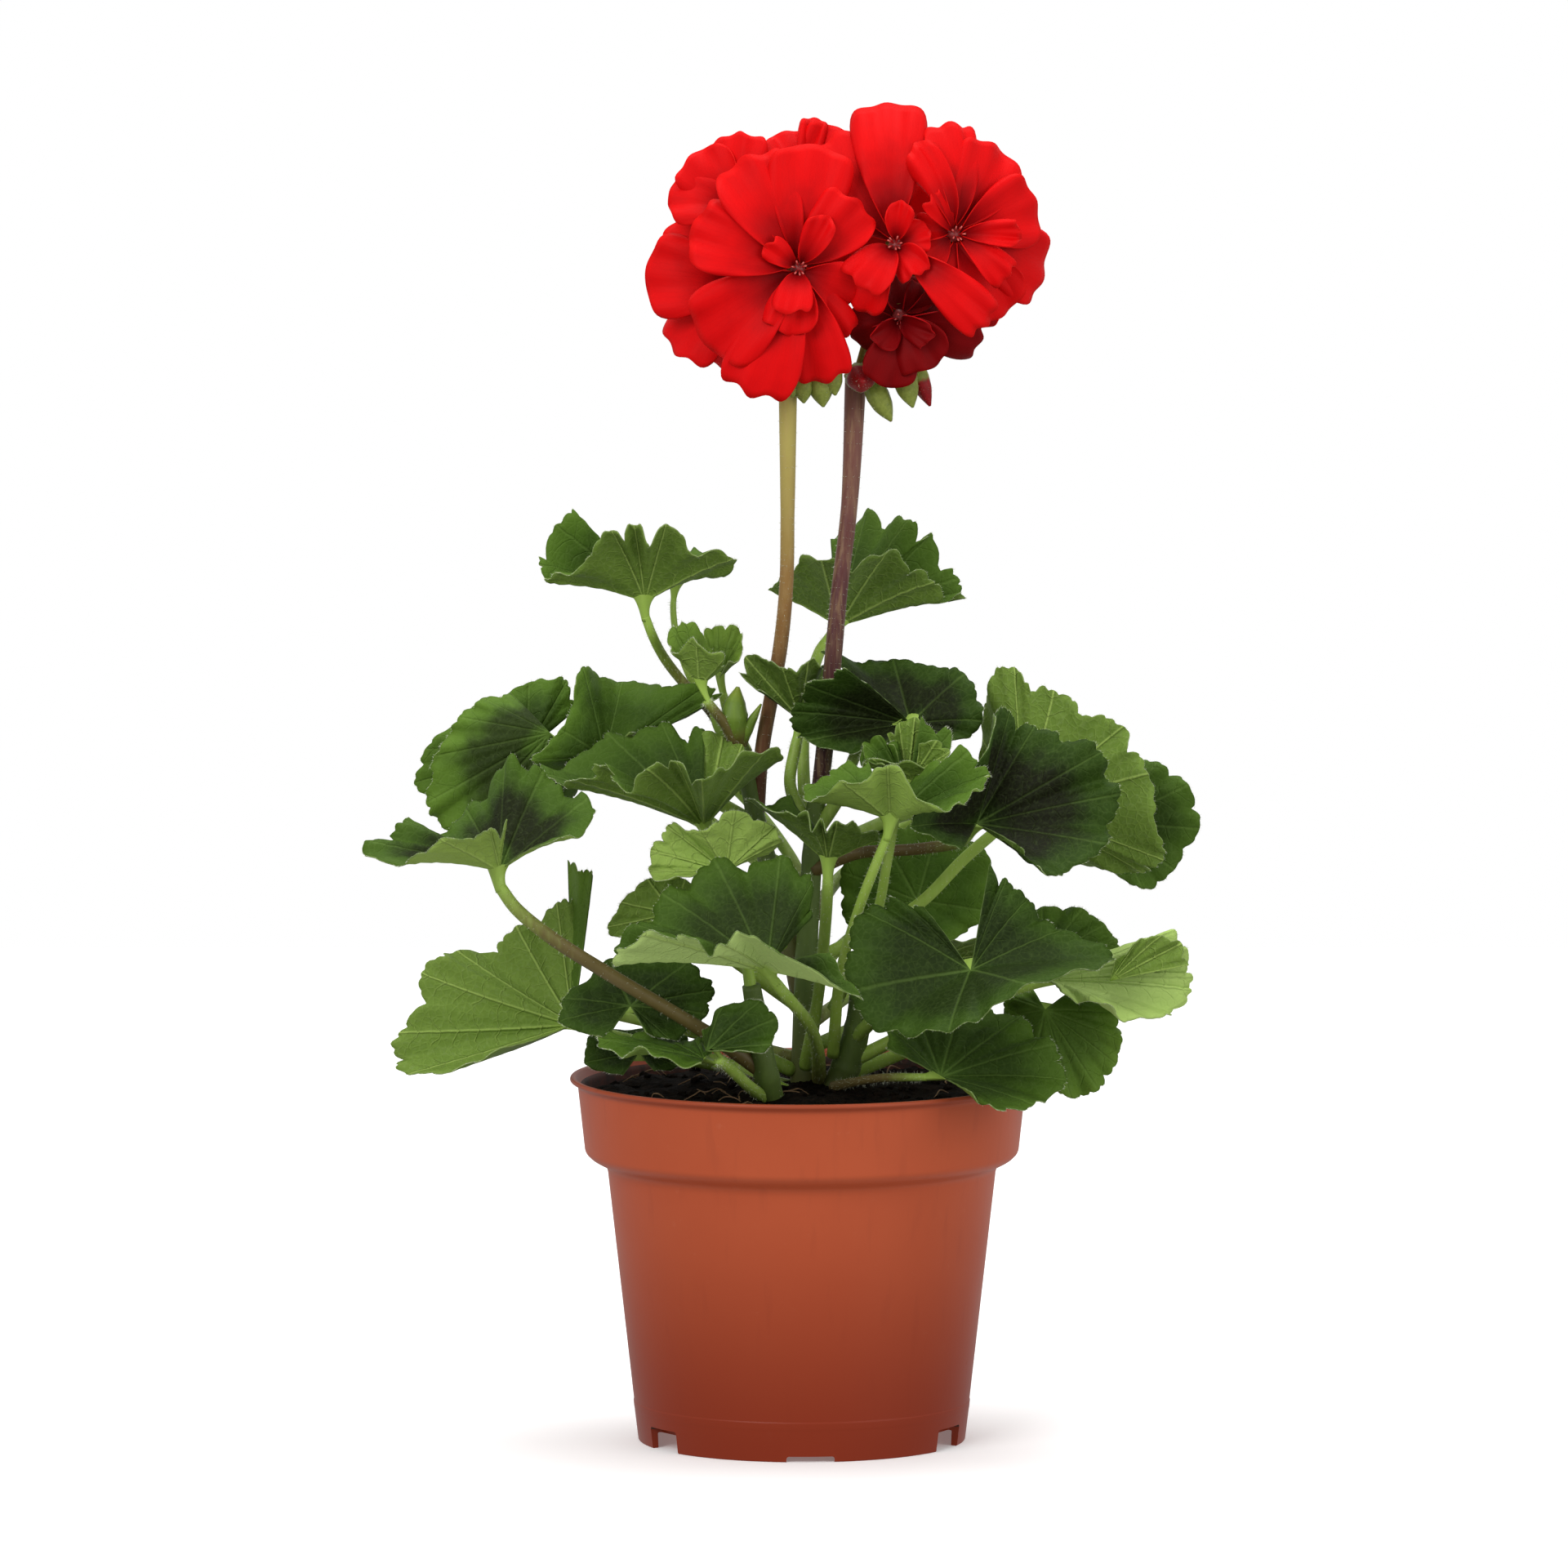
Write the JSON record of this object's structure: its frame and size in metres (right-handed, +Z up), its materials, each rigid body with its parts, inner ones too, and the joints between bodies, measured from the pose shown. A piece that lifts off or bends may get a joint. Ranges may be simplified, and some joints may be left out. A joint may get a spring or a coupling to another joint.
{
  "type": "potted zonal geranium",
  "caption": "Potted zonal geranium in a round plastic nursery pot, with scalloped leaves on long stalks and two tall heads of double red flowers.",
  "frame": {"origin": "centre of the pot's foot, on the surface that the pot stands on", "axes": "+Z up along the pot's axis, -Y towards the front, +X to the right as seen from the front"},
  "size_m": [0.2157, 0.1421, 0.3462],
  "materials": {
    "pot": "satin moulded plastic",
    "soil": "moist crumbly potting soil",
    "stem": "soft hairy plant stem",
    "leaf": "soft hairy leaf",
    "young_leaf": "soft hairy young leaf",
    "flower_stalk": "hairy flower stalk",
    "petal": "velvety petal"
  },
  "bodies": {
    "root": {"pot": "pot", "soil": "soil", "stems": "stem", "leaf_top_left": "leaf", "leaf_top_left_rear": "leaf", "leaf_young_left": "young_leaf", "leaf_young_left_rear": "young_leaf", "leaf_top_right": "leaf", "leaf_centre_dark": "leaf", "leaf_centre_left": "leaf", "leaf_right_dark": "leaf", "leaf_right_rear": "leaf", "leaf_right_far": "leaf", "leaf_young_centre": "young_leaf", "leaf_young_centre_top": "young_leaf", "leaf_mid_fold": "leaf", "leaf_light_small": "young_leaf", "leaf_left_cup": "leaf", "leaf_left_folded": "leaf", "leaf_left_disc": "leaf", "leaf_left_rear": "leaf", "leaf_left_low": "leaf", "leaf_low_left_light": "leaf", "leaf_low_left_dark": "leaf", "leaf_low_rim_left": "leaf", "leaf_low_small": "leaf", "leaf_front_centre": "leaf", "leaf_grey_behind": "leaf", "leaf_front_right": "leaf", "leaf_right_low": "leaf", "leaf_right_mid": "leaf", "leaf_low_right": "leaf", "leaf_low_right_rear": "leaf", "leaf_back_light": "leaf", "leaf_low_left_shade": "leaf", "leaf_back_upper_left": "leaf", "leaf_back_upper_right": "leaf", "leaf_back_low_right": "leaf", "leaf_back_middle": "leaf", "leaf_back_low_left": "leaf", "flower_stalk_left": "flower_stalk", "flower_stalk_right": "flower_stalk", "floret_left_front": "petal", "floret_left_side": "petal", "floret_left_upper": "petal", "floret_left_top": "petal", "floret_left_rear": "petal", "floret_right_front": "petal", "floret_right_middle": "petal", "floret_right_low": "petal", "floret_right_rear": "petal", "floret_right_back": "petal"}
  },
  "joints": []
}
